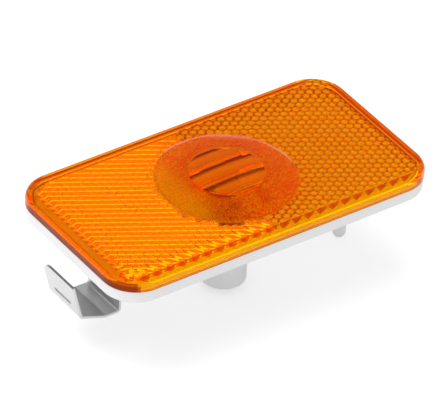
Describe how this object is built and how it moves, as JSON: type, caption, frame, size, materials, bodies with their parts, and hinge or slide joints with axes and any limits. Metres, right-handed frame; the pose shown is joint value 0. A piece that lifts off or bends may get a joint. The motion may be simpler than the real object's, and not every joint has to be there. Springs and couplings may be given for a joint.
{
  "type": "clearance lamp",
  "caption": "Amber side clearance lamp: reflex lens with a round lamp window on a shallow grey housing, with a bulb boss, a locating pin and a spring clip behind.",
  "frame": {"origin": "middle of the lamp's outline, in the plane of the housing's back face that seats on the panel", "axes": "+X along the lamp towards the locating pin, +Y across it, +Z out through the lens"},
  "size_m": [0.1234, 0.0636, 0.0456],
  "materials": {
    "amber_lens": "clear moulded amber acrylic, glossy outside",
    "grey_housing": "light grey moulded plastic",
    "spring_steel": "bright rolled spring steel",
    "screw_steel": "zinc-plated",
    "clear_glass": "clear blown glass",
    "lead_wire": "drawn nickel wire",
    "filament": "coiled tungsten wire",
    "black_plastic": "moulded black nylon",
    "contact_brass": "stamped brass strip",
    "seal_rubber": "soft sealing rubber"
  },
  "bodies": {
    "root": {"lens": "amber_lens", "housing": "grey_housing", "spring_clip": "spring_steel", "clip_screws": "screw_steel", "bulb_glass": "clear_glass", "lead_wire_left": "lead_wire", "lead_wire_right": "lead_wire", "filament": "filament", "bulb_holder": "black_plastic", "contact_left": "contact_brass", "contact_right": "contact_brass", "holder_seal": "seal_rubber"}
  },
  "joints": []
}
